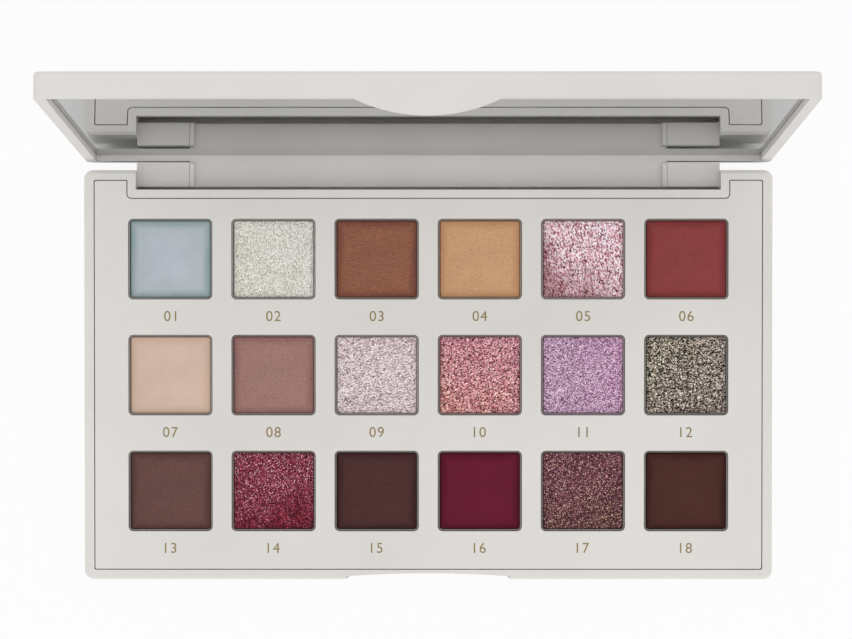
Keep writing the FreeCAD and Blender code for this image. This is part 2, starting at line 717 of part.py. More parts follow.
def make_lid_shell():
    body = new_body("lid_shell")

    block = new_sketch(body, "lid_block", "XY_Plane", z="lid_plane")
    pad(rounded_rectangle(block, "base_width", "base_depth", "corner_radius"), "lid_height")
    round_edges(body, "lid_edge_round", lambda edge: level(edge, size("lid_plane + lid_height")))

    recess = new_sketch(body, "mirror_recess", "XY_Plane", z="lid_plane")
    rounded_rectangle(recess, "recess_width", "recess_depth", "lid_inner_corner")
    pocket(recess, "recess_floor - lid_plane", backwards=True)
    for side, sign in LEFT_AND_RIGHT:
        x = "%d * magnet_spacing / 2" % sign
        socket = new_sketch(body, "lid_socket_" + side, "XY_Plane", x=x, y="magnet_y", z="recess_floor")
        circle(socket, "magnet_bore_radius")
        pocket(socket, "magnet_thickness + magnet_clearance", backwards=True)

    add_thumb_tab(body)

    web_front = "rear_y - lid_rim"
    web = new_sketch(body, "bar_web", "YZ_Plane",
                     x="(rear_y + %s) / 2" % web_front, y="(hinge_z + mirror_face) / 2")
    pad(rectangle(web, "lid_rim", "mirror_face - hinge_z"), "2 * bar_end", symmetric=True)
    add_hinge_bar(body, "hinge_bar", "-bar_end", "2 * bar_end", "open_angle")
    lower_bar_neck(body, "2 * (bar_end - collar_width)", "open_angle")
    for side, sign in LEFT_AND_RIGHT:
        bore = new_sketch(body, "bar_bore_" + side, "YZ_Plane",
                          x="hinge_y", y="hinge_z", z="%d * bar_end" % sign)
        pocket(circle(bore, "bar_bore_radius"), "bar_bore_depth", backwards=sign < 0)
    swing_open(body)


def make_mirror():
    body = new_body("mirror")
    glass = new_sketch(body, "glass", "XY_Plane", z="mirror_face")
    width = "recess_width - 2 * mirror_clearance"
    depth = "recess_depth - 2 * mirror_clearance"
    pad(rounded_rectangle(glass, width, depth, "lid_inner_corner"), "mirror_thickness")
    swing_open(body)


def make_mirror_adhesive():
    body = new_body("mirror_adhesive")
    film = new_sketch(body, "film", "XY_Plane", z="adhesive_face")
    inset = "2 * (mirror_clearance + adhesive_inset)"
    rounded_rectangle(film, "recess_width - " + inset, "recess_depth - " + inset, "lid_inner_corner")
    pad(film, "adhesive_thickness")
    swing_open(body)


# Every piece is built and checked before anything is written.


def check_document():
    doc.recompute()
    for item in doc.Objects:
        if "Invalid" in item.State or "Error" in item.State:
            raise RuntimeError("%s failed: %s" % (item.Name, item.State))
    for item in sub_parts:
        if item.Shape.isNull() or not item.Shape.isValid():
            raise RuntimeError(item.Label + " has no valid shape")


def write_parts():
    os.makedirs("parts", exist_ok=True)
    for item in sub_parts:
        item.Shape.exportStep("parts/%s.step" % item.Label)
        print("%-16s %2d solids %10.2f mm3" % (item.Label, len(item.Shape.Solids), item.Shape.Volume))


make_base_shell()
make_pan_deck()
for well in well_places():
    make_pan(*well)
    make_powder(*well)
make_glue_dots()
make_hinge_pins()
make_magnets("base_magnets", "seat_floor - magnet_thickness")
make_lid_shell()
make_mirror()
make_mirror_adhesive()
swing_open(make_magnets("lid_magnets", "recess_floor"))
check_document()
write_parts()
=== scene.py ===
import math
from collections import namedtuple

import bmesh
import bpy
from mathutils import Euler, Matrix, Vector, noise


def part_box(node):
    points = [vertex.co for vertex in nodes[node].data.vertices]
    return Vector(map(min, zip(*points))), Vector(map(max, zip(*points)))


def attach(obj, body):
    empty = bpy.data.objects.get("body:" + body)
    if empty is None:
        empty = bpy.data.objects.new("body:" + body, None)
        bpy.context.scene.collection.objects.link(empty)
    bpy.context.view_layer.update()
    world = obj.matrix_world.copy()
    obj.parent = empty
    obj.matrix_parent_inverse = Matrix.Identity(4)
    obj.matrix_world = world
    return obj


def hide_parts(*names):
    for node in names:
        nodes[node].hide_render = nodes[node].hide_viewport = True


# Looks of the eyeshadow palette: pressed powders, printed shade numbers, materials, light and camera.
# Lengths are in millimetres, turned into metres where Blender needs them, unless a comment says metres.

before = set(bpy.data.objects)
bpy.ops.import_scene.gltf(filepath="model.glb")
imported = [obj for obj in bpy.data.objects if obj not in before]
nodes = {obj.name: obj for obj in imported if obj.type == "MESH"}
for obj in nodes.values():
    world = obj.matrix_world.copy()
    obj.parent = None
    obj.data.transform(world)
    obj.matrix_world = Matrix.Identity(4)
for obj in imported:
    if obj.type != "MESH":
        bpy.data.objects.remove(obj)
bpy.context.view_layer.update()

MM = 0.001
WHITE = (1.0, 1.0, 1.0, 1.0)
# Most of a noise texture's values lie in this range
NOISE_RANGE = (0.3, 0.7)
scene = bpy.context.scene


def linear(red, green, blue):
    """A colour as it looks on screen, 0 to 255, as the linear values that shaders take."""
    channels = []
    for value in (red, green, blue):
        share = value / 255
        channels.append(share / 12.92 if share <= 0.04045 else ((share + 0.055) / 1.055) ** 2.4)
    return (*channels, 1.0)


def scaled(colour, level):
    """A lighter or darker version of a colour."""
    return tuple(min(1.0, channel * level) for channel in colour[:3]) + (1.0,)


# Node helpers


class Nodes:
    """A node tree. Inputs are given as numbers, colours or other nodes' outputs."""

    def __init__(self, tree):
        self.tree = tree

    def add(self, kind, inputs=None, **settings):
        """A new node of this kind."""
        node = self.tree.nodes.new("ShaderNode" + kind)
        for name, value in settings.items():
            setattr(node, name, value)
        self.feed(node, inputs or {})
        return node

    def feed(self, node, inputs):
        """Link or set a node's inputs."""
        for key, value in inputs.items():
            if isinstance(value, bpy.types.NodeSocket):
                self.tree.links.new(value, node.inputs[key])
            else:
                node.inputs[key].default_value = value

    def calc(self, operation, first, second=0.0, clamp=False):
        """One step of arithmetic."""
        return self.add("Math", {0: first, 1: second}, operation=operation, use_clamp=clamp).outputs[0]

    def seen_share(self, direct, reflected):
        """Share of the background's white, straight to the camera and in gloss or through glass."""
        path = self.add("LightPath").outputs
        gloss = self.calc("ADD", path["Is Glossy Ray"], path["Is Transmission Ray"])
        not_bounced = self.calc("LESS_THAN", path["Diffuse Depth"], 0.5)
        behind = self.calc("MULTIPLY", self.calc("MULTIPLY", gloss, not_bounced), reflected)
        return self.calc("ADD", self.calc("MULTIPLY", path["Is Camera Ray"], direct), behind, clamp=True)


class Shading(Nodes):
    """One material's nodes."""

    def __init__(self, name):
        self.material = bpy.data.materials.new(name)
        self.material.use_nodes = True
        super().__init__(self.material.node_tree)
        self.surface = self.tree.nodes["Principled BSDF"]
        place = self.add("TexCoord").outputs["Object"]
        self.millimetres = self.add("VectorMath", {0: place, "Scale": 1 / MM}, operation="SCALE").outputs[0]

    def set(self, **inputs):
        """Set inputs of the material's own shader, with _ for a space in their names."""
        self.feed(self.surface, {name.replace("_", " "): value for name, value in inputs.items()})

    def remap(self, value, band, to=(0.0, 1.0), smooth=False):
        """A value whose band, from its low to its high end, becomes the range that to gives."""
        inputs = {"Value": value, "From Min": band[0], "From Max": band[1], "To Min": to[0], "To Max": to[1]}
        kind = "SMOOTHSTEP" if smooth else "LINEAR"
        return self.add("MapRange", inputs, interpolation_type=kind).outputs["Result"]

    def spread(self, texture, low, high):
        """A noise texture whose usual values run from low to high."""
        return self.remap(texture, NOISE_RANGE, to=(low, high))

    def mix(self, factor, first, second, kind="MIX"):
        """Two colours mixed by a factor."""
        node = self.add("Mix", data_type="RGBA", blend_type=kind)
        self.feed(node, {0: factor, 6: first, 7: second})
        return node.outputs[2]

    def dimmed(self, colour, levels):
        """A colour multiplied by each of these levels."""
        level = levels[0]
        for further in levels[1:]:
            level = self.calc("MULTIPLY", level, further)
        grey = self.add("CombineColor", {0: level, 1: level, 2: level}).outputs[0]
        return self.mix(1.0, colour, grey, "MULTIPLY")

    def stretched(self, along, across, turn=0.0):
        """Coordinates in millimetres, turned and drawn out, for streaks and long flakes."""
        inputs = {"Vector": self.millimetres, "Rotation": (0.0, 0.0, math.radians(turn))}
        inputs["Scale"] = (along, across, 1.0)
        return self.add("Mapping", inputs, vector_type="TEXTURE").outputs[0]

    def noise(self, size, detail=2.0, vector=None):
        """Cloudy noise whose features are about this many millimetres across."""
        inputs = {"Vector": vector or self.millimetres, "Scale": 1 / size, "Detail": detail}
        return self.add("TexNoise", inputs).outputs["Fac"]

    def cells(self, size, vector=None):
        """Flat random cells about this many millimetres across: their distance field and their colour."""
        inputs = {"Vector": vector or self.millimetres, "Scale": 1 / size}
        node = self.add("TexVoronoi", inputs)
        return node.outputs["Distance"], node.outputs["Color"]

    def ramp(self, value, stops):
        """A colour for each value, from stops of a position and a colour."""
        node = self.add("ValToRGB", {"Fac": value})
        points = node.color_ramp.elements
        while len(points) < len(stops):
            points.new(0.5)
        for point, (position, colour) in zip(points, stops):
            point.position = position
            point.color = colour
        return node.outputs["Color"]

    def bump(self, height, depth, strength=1.0, under=None):
        """Normals of a relief this many millimetres deep, laid over those of another relief."""
        inputs = {"Height": height, "Distance": depth * MM, "Strength": strength}
        if under:
            inputs["Normal"] = under
        return self.add("Bump", inputs).outputs["Normal"]


# Materials of the casing, the metal and the mirror


def satin_plastic(name, colour, roughness):
    """Moulded plastic with a fine spark-eroded grain and a faint drift of tone."""
    shading = Shading(name)
    drift = shading.noise(size=38.0, detail=3.0)
    specks = shading.noise(size=0.55)
    grain = shading.noise(size=0.16, detail=1.0)
    pale = scaled(colour, 1.02)
    deep = scaled(colour, 0.965)
    tone = shading.mix(shading.remap(drift, band=(0.35, 0.65)), deep, pale)
    fleck_share = shading.remap(specks, band=(0.62, 0.78), to=(0.0, 0.22))
    shading.set(Base_Color=shading.mix(fleck_share, tone, deep), Specular_IOR_Level=0.45)
    shading.set(Roughness=shading.spread(grain, roughness - 0.06, roughness + 0.06))
    shading.set(Normal=shading.bump(grain, depth=0.012, strength=0.35))
    return shading.material


def dusted_metal(name, metal, dust, dust_share):
    """Metal with a satin finish, and dust rubbed on it in patches."""
    shading = Shading(name)
    finish = shading.noise(size=0.35, detail=3.0, vector=shading.stretched(along=1.0, across=1.0, turn=20.0))
    patches = shading.noise(size=2.4, detail=4.0)
    grit = shading.noise(size=0.12, detail=1.0)
    bare = shading.mix(finish, scaled(metal, 0.8), metal)
    cover = shading.spread(patches, dust_share * 0.4, dust_share)
    shading.set(Base_Color=shading.mix(cover, bare, dust))
    shading.set(Metallic=0.75, Roughness=shading.spread(grit, 0.38, 0.55))
    shading.set(Normal=shading.bump(grit, depth=0.01, strength=0.5))
    return shading.material


SILVER_DULL = (0.71, 0.72, 0.71, 1.0)
SILVER_CLEAR = (0.75, 0.76, 0.75, 1.0)
SILVER_EDGE_TINT = (0.80, 0.80, 0.80, 1.0)


def mirror_glass():
    """Silvered glass with a trace of wiped haze."""
    shading = Shading("mirror_glass")
    wiped = shading.noise(size=9.0, detail=4.0, vector=shading.stretched(along=2.5, across=1.0, turn=35.0))
    shading.set(Base_Color=shading.mix(wiped, SILVER_DULL, SILVER_CLEAR))
    shading.set(Metallic=1.0, Specular_Tint=SILVER_EDGE_TINT)
    shading.set(Roughness=shading.remap(wiped, band=(0.45, 0.75), to=(0.01, 0.035)))
    return shading.material


INK_THICK = linear(126, 110, 64)
INK_THIN = linear(150, 132, 82)


def gold_print():
    """Matt gold ink, a little thin in places."""
    shading = Shading("gold_print")
    cover = shading.noise(size=0.5, detail=3.0)
    ink = shading.mix(shading.spread(cover, 0.0, 1.0), INK_THICK, INK_THIN)
    shading.set(Base_Color=ink, Metallic=0.25, Roughness=shading.spread(cover, 0.42, 0.58))
    shading.set(Normal=shading.bump(cover, depth=0.01, strength=0.4))
    return shading.material


def soft_film(name, colour, roughness):
    """Glue and tape: slightly uneven, slightly cloudy."""
    shading = Shading(name)
    clouds = shading.noise(size=1.2, detail=3.0)
    shading.set(Base_Color=shading.mix(clouds, scaled(colour, 0.8), colour))
    shading.set(Roughness=shading.spread(clouds, roughness - 0.1, roughness + 0.1))
    shading.set(Normal=shading.bump(clouds, depth=0.05, strength=0.4))
    return shading.material


# Pressed powders

Matte = namedtuple("Matte", "body edge centre streaks bumps")
Shimmer = namedtuple("Shimmer", "dark body light spark flake stretch turn glitter tint toward relief")

# Colours are as they look on screen. A matte's edge colour is painted shade where the cake rolls down, a
# shimmer's spark colour is a painted glint, and its sheen tint is partly painted sheen and partly the
# powder's own colour. A flake's size is in millimetres, turn is in degrees, and toward is the direction in
# which the sheen tint grows. The other numbers are strengths.
SHADES = {
    1: Matte(body=(176, 185, 190), edge=(138, 157, 160), centre=(184, 191, 201),
             streaks=0.0, bumps=0.1),
    2: Shimmer(dark=(170, 170, 158), body=(225, 223, 215), light=(239, 237, 229), spark=(255, 255, 250),
               flake=0.17, stretch=1.2, turn=60, glitter=0.5,
               tint=(220, 217, 205), toward=(-0.6, -0.4), relief=0.5),
    3: Matte(body=(141, 93, 73), edge=(115, 71, 59), centre=(141, 94, 75),
             streaks=0.8, bumps=0.4),
    4: Matte(body=(200, 156, 118), edge=(184, 136, 100), centre=(201, 158, 121),
             streaks=0.25, bumps=0.7),
    5: Shimmer(dark=(98, 18, 42), body=(242, 184, 200), light=(255, 246, 252), spark=(255, 253, 255),
               flake=0.2, stretch=1.8, turn=-62, glitter=1.0,
               tint=(182, 118, 129), toward=(-0.7, -0.9), relief=1.0),
    6: Matte(body=(138, 65, 64), edge=(119, 52, 53), centre=(138, 66, 66),
             streaks=0.25, bumps=0.6),
    7: Matte(body=(208, 181, 165), edge=(196, 168, 149), centre=(209, 182, 167),
             streaks=0.05, bumps=0.2),
    8: Matte(body=(157, 119, 111), edge=(139, 99, 97), centre=(157, 120, 111),
             streaks=0.35, bumps=0.9),
    9: Shimmer(dark=(126, 102, 110), body=(218, 195, 199), light=(242, 225, 228), spark=(255, 252, 255),
               flake=0.165, stretch=1.9, turn=0, glitter=0.8,
               tint=(212, 192, 192), toward=(-0.4, -0.8), relief=0.8),
    10: Shimmer(dark=(62, 12, 29), body=(179, 102, 118), light=(242, 178, 186), spark=(255, 240, 234),
                flake=0.19, stretch=1.3, turn=25, glitter=1.0,
                tint=(183, 105, 110), toward=(-0.5, -0.9), relief=0.8),
    11: Shimmer(dark=(78, 46, 76), body=(171, 127, 160), light=(224, 189, 215), spark=(255, 240, 252),
                flake=0.165, stretch=1.3, turn=0, glitter=1.0,
                tint=(176, 124, 161), toward=(0.8, 0.4), relief=0.8),
    12: Shimmer(dark=(4, 3, 2), body=(78, 68, 62), light=(190, 171, 158), spark=(255, 250, 240),
                flake=0.2, stretch=1.3, turn=15, glitter=1.0,
                tint=(82, 74, 64), toward=(-0.8, 0.5), relief=0.8),
    13: Matte(body=(101, 71, 67), edge=(83, 56, 53), centre=(102, 73, 69),
              streaks=0.25, bumps=0.9),
    14: Shimmer(dark=(32, 0, 6), body=(103, 17, 38), light=(170, 73, 97), spark=(255, 206, 212),
                flake=0.165, stretch=1.1, turn=70, glitter=1.0,
                tint=(78, 2, 15), toward=(0.0, -1.0), relief=0.7),
    15: Matte(body=(75, 47, 46), edge=(58, 35, 36), centre=(76, 49, 47),
              streaks=0.3, bumps=1.0),
    16: Matte(body=(99, 27, 49), edge=(79, 18, 37), centre=(101, 28, 51),
              streaks=0.3, bumps=0.4),
    17: Shimmer(dark=(22, 1, 7), body=(80, 33, 47), light=(140, 81, 97), spark=(255, 212, 192),
                flake=0.165, stretch=1.0, turn=0, glitter=1.0,
                tint=(72, 32, 40), toward=(0.1, -1.0), relief=0.7),
    18: Matte(body=(74, 44, 39), edge=(55, 31, 26), centre=(77, 47, 42),
              streaks=0.2, bumps=0.2),
}

# Painted shade towards a cake's edge. A band is a share of the way from the middle to the outline, a level
# multiplies the tone, and the lean of that shade to the left and the rear is in millimetres.
SHADE_LEAN = 0.15
SHADOW_LINE_BAND = (0.983, 1.0)
SHADOW_LINE_LEVEL = 0.45
EDGE_SHADE_BAND = (0.84, 1.0)
EDGE_SHADE_LEVEL = 0.85
SHADED_RIM_BAND = (0.76, 1.02)
LIT_MIDDLE_BAND = (0.1, 0.95)
LIT_MIDDLE_SHARE = 0.9
EDGE_WANDER = 0.05

# Marks in a matte cake, as bands of their noise and as changes of tone, which paint shade and highlights on
# them
DEEP_SCRATCHES = (0.56, 0.70)
RAISED_SCRATCHES = (0.30, 0.44)
DENTS = (0.58, 0.72)
PIMPLES = (0.28, 0.40)
SCRATCH_SHADE = 0.24
SCRATCH_HIGHLIGHT = 0.34
BUMP_SHADE_AND_HIGHLIGHT = 0.26
DUST_TONE = 0.09
DRIFT_TONE = 0.05

# Flakes of a shimmer cake
FINE_FLAKE_SHARE = 0.55
FINE_TONE = 0.2
# Spread and wander of the one-sided tone, partly painted sheen and partly the powder's own colour
SHEEN_TINT_BAND = (-0.4, 1.3)
SHEEN_TINT_WANDER = 0.5


def edge_mask(shading, half_width, half_length):
    """Mask of the painted edge shade: 0 near the middle of the cake and about 1 at its outline, a little more
    at the left and the rear.
    """
    split = shading.add("SeparateXYZ", {"Vector": shading.millimetres})
    across = shading.calc("ABSOLUTE", shading.calc("SUBTRACT", split.outputs["X"], SHADE_LEAN))
    along = shading.calc("ABSOLUTE", shading.calc("ADD", split.outputs["Y"], SHADE_LEAN))
    return shading.calc("MAXIMUM", shading.calc("DIVIDE", across, half_width),
                        shading.calc("DIVIDE", along, half_length))


def painted_shadow_line(shading, half_width, half_length):
    """Level of a painted shadow line where the cake rolls down inside the pan's rim."""
    reach = edge_mask(shading, half_width, half_length)
    return shading.remap(reach, SHADOW_LINE_BAND, to=(1.0, SHADOW_LINE_LEVEL))


def matte_powder(name, shade, half_width, half_length):
    """Velvety pressed pigment: a drift of tone, fine grain, small dents and the lines of the press, with
    painted shade and highlights on the marks and painted shade towards the rim.
    """
    shading = Shading(name)
    drift = shading.noise(size=6.0, detail=3.0)
    grain = shading.noise(size=0.14, detail=1.0)
    scratches = shading.noise(size=0.18, detail=1.0, vector=shading.stretched(along=7.0, across=1.0))
    bumps = shading.noise(size=0.6)
    # Painted shade: the tone darkens towards the rim where the cake rolls down, and the middle is lighter
    reach = shading.calc("ADD", edge_mask(shading, half_width, half_length),
                         shading.spread(drift, -EDGE_WANDER, EDGE_WANDER))
    rim = shading.remap(reach, SHADED_RIM_BAND, smooth=True)
    middle = shading.remap(reach, LIT_MIDDLE_BAND, to=(LIT_MIDDLE_SHARE, 0.0), smooth=True)
    tone = shading.mix(middle, linear(*shade.body), linear(*shade.centre))
    tone = shading.mix(rim, tone, linear(*shade.edge))
    # Painted shade in the deep scratches and dents, and painted highlights on the raised scratches and
    # pimples
    scratch_shade_level = 1.0 - SCRATCH_SHADE * shade.streaks
    scratch_highlight_level = 1.0 + SCRATCH_HIGHLIGHT * shade.streaks
    dent_shade_level = 1.0 - BUMP_SHADE_AND_HIGHLIGHT * shade.bumps
    pimple_highlight_level = 1.0 + BUMP_SHADE_AND_HIGHLIGHT * shade.bumps
    levels = [
        shading.spread(drift, 1.0 - DRIFT_TONE, 1.0 + DRIFT_TONE),
        shading.remap(scratches, DEEP_SCRATCHES, to=(1.0, scratch_shade_level), smooth=True),
        shading.remap(scratches, RAISED_SCRATCHES, to=(scratch_highlight_level, 1.0), smooth=True),
        shading.remap(bumps, DENTS, to=(1.0, dent_shade_level), smooth=True),
        shading.remap(bumps, PIMPLES, to=(pimple_highlight_level, 1.0), smooth=True),
        shading.spread(grain, 1.0 - DUST_TONE, 1.0 + DUST_TONE),
        # painted shadow line where the cake meets the pan's rim
        painted_shadow_line(shading, half_width, half_length),
    ]
    shading.set(Base_Color=shading.dimmed(tone, levels))
    shading.set(Roughness=shading.spread(grain, 0.82, 0.95))
    shading.set(Specular_IOR_Level=0.08, Sheen_Weight=0.02, Sheen_Roughness=0.4)
    pressed = shading.bump(bumps, depth=0.05, strength=0.6 * shade.bumps + 0.05)
    lined = shading.bump(scratches, depth=0.03, strength=0.6 * shade.streaks + 0.02, under=pressed)
    shading.set(Normal=shading.bump(grain, depth=0.012, strength=0.6, under=lined))
    return shading.material


def flake_tones(shade):
    """The colours of a shimmer's flakes, each with its place on a scale from the darkest to the brightest."""
    dark_to = 0.4 - 0.3 * shade.glitter
    light_from = 0.6 + 0.18 * shade.glitter
    light_to = 0.96 - 0.08 * shade.glitter
    # The spark colour at the brightest end paints glints of light on the flakes
    tones = [(0.0, shade.dark), (dark_to, shade.dark), (0.5, shade.body), (light_from, shade.light),
             (light_to, shade.light), (1.0, shade.spark)]
    return [(place, linear(*colour)) for place, colour in tones]


def shimmer_powder(name, shade, half_width, half_length):
    """Pressed pearl flakes: each flake has its own tone, tilt and gloss, the brightest being painted glints;
    painted shade darkens the edge, and a one-sided tone across the cake is partly painted sheen and partly
    the powder's own colour.
    """
    shading = Shading(name)
    drift = shading.noise(size=4.5, detail=3.0)
    drawn = shading.stretched(shade.stretch, 1.0, shade.turn)
    domes, colours = shading.cells(shade.flake, drawn)
    flakes = shading.add("SeparateColor", {"Color": colours})
    fine_colours = shading.cells(shade.flake * FINE_FLAKE_SHARE, drawn)[1]
    fine = shading.add("SeparateColor", {"Color": fine_colours}).outputs[0]
    flecked = shading.ramp(flakes.outputs[0], flake_tones(shade))
    fine_tone = FINE_TONE * shade.glitter
    reach = edge_mask(shading, half_width, half_length)
    levels = [
        shading.remap(fine, band=(0.0, 1.0), to=(1.0 - fine_tone, 1.0 + fine_tone)),
        # painted shade towards the edge, and a painted shadow line at the outline
        shading.remap(reach, EDGE_SHADE_BAND, to=(1.0, EDGE_SHADE_LEVEL), smooth=True),
        painted_shadow_line(shading, half_width, half_length),
    ]
    flecked = shading.dimmed(flecked, levels)
    # A one-sided tone across the cake, partly painted sheen and partly the powder's own colour
    split = shading.add("SeparateXYZ", {"Vector": shading.millimetres})
    slope = shading.calc("ADD", shading.calc("MULTIPLY", split.outputs["X"], shade.toward[0] / half_width),
                         shading.calc("MULTIPLY", split.outputs["Y"], shade.toward[1] / half_width))
    warped = shading.calc("ADD", slope, shading.spread(drift, -SHEEN_TINT_WANDER, SHEEN_TINT_WANDER))
    full_sheen_tint = tuple(tint / body for tint, body in zip(linear(*shade.tint), linear(*shade.body)))
    tint = shading.mix(shading.remap(warped, SHEEN_TINT_BAND, smooth=True), WHITE, full_sheen_tint)
    shading.set(Base_Color=shading.mix(1.0, flecked, tint, "MULTIPLY"), Specular_IOR_Level=0.15)
    shading.set(Roughness=shading.remap(flakes.outputs[1], band=(0.0, 1.0), to=(0.32, 0.65)))
    tilted = shading.bump(domes, depth=0.03, strength=0.3)
    shading.set(Normal=shading.bump(fine, depth=0.01, strength=0.4, under=tilted))
    return shading.material


# Shapes of the cakes

POWDER_CLEARANCE = 0.01
POWDER_CORNER = 0.75
GRID_STEP = 0.25
EDGE_STEPS = (0.0, 0.05, 0.11, 0.18)
EDGE_ROLL = 0.15
EDGE_DROP = 0.4
CAKE_CROWN = 0.07
CROWN_REACH = 3.0
SHARP_ANGLE = 60.0

# One kind of unevenness: its size along and across, its height and its own slice of the noise
Wave = namedtuple("Wave", "along across height seed")
SEED_STEP = 17.0
SWELL = Wave(along=5.0, across=5.0, height=0.02, seed=0.0)
BUMPS = Wave(along=0.9, across=0.9, height=0.012, seed=3.0)
STREAKS = Wave(along=7.0, across=0.55, height=0.014, seed=7.0)
CRUST = Wave(along=0.6, across=0.6, height=0.03, seed=0.0)
FOLDS = Wave(along=2.2, across=2.2, height=0.03, seed=5.0)


def grid_lines(half):
    """Grid places from one edge to the other, closer together at the edges."""
    inner = half - EDGE_STEPS[-1]
    count = round(2 * inner / GRID_STEP)
    middle = [-inner + 2 * inner * step / count for step in range(count + 1)]
    left = [-half + step for step in EDGE_STEPS[:-1]]
    return left + middle + [-place for place in reversed(left)]


def rounded(x, y, half_width, half_length, corner):
    """Draw a grid point of the outer square in, so that the outline's corners are round."""
    over_x = (abs(x) - half_width + corner) / corner
    over_y = (abs(y) - half_length + corner) / corner
    if over_x <= 0 or over_y <= 0:
        return x, y
    new_x = half_width - corner + corner * over_x * math.sqrt(1 - over_y ** 2 / 2)
    new_y = half_length - corner + corner * over_y * math.sqrt(1 - over_x ** 2 / 2)
    return math.copysign(new_x, x), math.copysign(new_y, y)


def inset(x, y, half_width, half_length, corner):
    """How far a point lies inside the rounded outline."""
    past_x = abs(x) - half_width + corner
    past_y = abs(y) - half_length + corner
    outside = math.hypot(max(past_x, 0.0), max(past_y, 0.0))
    return corner - outside - min(max(past_x, past_y), 0.0)


def ripple(wave, along, across, number):
    """Height of one kind of unevenness at a point of a cake."""
    seed = SEED_STEP * number + wave.seed
    return wave.height * noise.noise(Vector((along / wave.along, across / wave.across, seed)))


def relief(shade, x, y, number):
    """Height of the cake's own unevenness: press streaks and bumps, or a crust of flakes."""
    if isinstance(shade, Matte):
        marks = shade.bumps * ripple(BUMPS, x, y, number) + shade.streaks * ripple(STREAKS, x, y, number)
        return ripple(SWELL, x, y, number) + marks
    turn = math.radians(shade.turn)
    along = (x * math.cos(turn) + y * math.sin(turn)) / shade.stretch
    across = y * math.cos(turn) - x * math.sin(turn)
    return shade.relief * (ripple(CRUST, along, across, number) + ripple(FOLDS, along, across, number))


def powder_cake(number, shade):
    """The pressed cake of one pan: a crowned, uneven top whose rounded outline goes down into the pan."""
    node = "powder_%02d" % number
    low, high = (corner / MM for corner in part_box(node))
    centre = (low + high) / 2
    half_width = (high.x - low.x) / 2 - POWDER_CLEARANCE
    half_length = (high.y - low.y) / 2 - POWDER_CLEARANCE
    outline = (half_width, half_length, POWDER_CORNER)
    mesh = bmesh.new()
    rows = []
    for grid_y in grid_lines(half_length):
        row = []
        for grid_x in grid_lines(half_width):
            x, y = rounded(grid_x, grid_y, *outline)
            depth = inset(x, y, *outline)
            roll = max(0.0, 1 - depth / EDGE_ROLL)
            crown = max(0.0, 1 - depth / CROWN_REACH)
            drop = EDGE_DROP * roll ** 2 + CAKE_CROWN * crown ** 2
            z = high.z - drop + relief(shade, x, y, number) * (1 - roll)
            row.append(mesh.verts.new((x * MM, y * MM, (z - centre.z) * MM)))
        rows.append(row)
    for near, far in zip(rows, rows[1:]):
        for corners in zip(near, near[1:], far[1:], far):
            mesh.faces.new(corners)
    ring = rows[0] + [row[-1] for row in rows[1:-1]] + rows[-1][::-1] + [row[0] for row in rows[-2:0:-1]]
    foot = [mesh.verts.new((vert.co.x, vert.co.y, (low.z - centre.z) * MM)) for vert in ring]
    for here in range(len(ring)):
        there = (here + 1) % len(ring)
        mesh.faces.new((ring[here], foot[here], foot[there], ring[there]))
    mesh.faces.new(foot[::-1])
    data = bpy.data.meshes.new(node + "_cake")
    mesh.to_mesh(data)
    mesh.free()
    data.shade_smooth()
    data.set_sharp_from_angle(angle=math.radians(SHARP_ANGLE))
    cake = bpy.data.objects.new(node + "_cake", data)
    cake.location = centre * MM
    scene.collection.objects.link(cake)
    powder = matte_powder if isinstance(shade, Matte) else shimmer_powder
    data.materials.append(powder(node, shade, half_width, half_length))
    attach(cake, "base")
    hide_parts(node)


# Printed shade numbers

NUMBER_HEIGHT = 2.5
NUMBER_FRONT_OF_WELL = 13.95
NUMBER_SPACING = 1.12
DIGIT_SHARE_OF_FONT = 0.7
PRINT_THICKNESS = 0.02


def shade_numbers():
    """Plain numbers printed on the deck in front of each pan, as thin raised ink."""
    deck_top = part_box("pan_deck")[1].z
    ink = bmesh.new()
    for number in SHADES:
        curve = bpy.data.curves.new("number", "FONT")
        curve.body = "%02d" % number
        curve.size = NUMBER_HEIGHT * MM / DIGIT_SHARE_OF_FONT
        curve.space_character = NUMBER_SPACING
        curve.extrude = PRINT_THICKNESS * MM / 2
        text = bpy.data.objects.new("number", curve)
        digits = bpy.data.meshes.new_from_object(text)
        low = Vector(map(min, *(vert.co for vert in digits.vertices)))
        high = Vector(map(max, *(vert.co for vert in digits.vertices)))
        well_low, well_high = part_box("pan_%02d" % number)
        target = (well_low + well_high) / 2 - Vector((0, NUMBER_FRONT_OF_WELL * MM, 0))
        target.z = deck_top
        shift = target - (low + high) / 2
        for vert in digits.vertices:
            vert.co += shift
        ink.from_mesh(digits)
        bpy.data.objects.remove(text)
        bpy.data.curves.remove(curve)
        bpy.data.meshes.remove(digits)
    data = bpy.data.meshes.new("shade_numbers")
    ink.to_mesh(data)
    ink.free()
    data.materials.append(gold_print())
    printed = bpy.data.objects.new("shade_numbers", data)
    scene.collection.objects.link(printed)
    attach(printed, "base")


# Dressing of the object

CASING_GREY = linear(217, 214, 210)
TINPLATE = linear(152, 149, 144)
STEEL = linear(190, 190, 188)
MAGNET_NICKEL = linear(150, 148, 142)
GREY_DUST = linear(90, 88, 86)
ADHESIVE_CREAM = linear(225, 222, 212)
GLUE_AMBER = linear(214, 204, 176)


def dress(name, material):
    """Give a CAD node its material."""
    slots = nodes[name].data.materials
    slots.clear()
    slots.append(material)


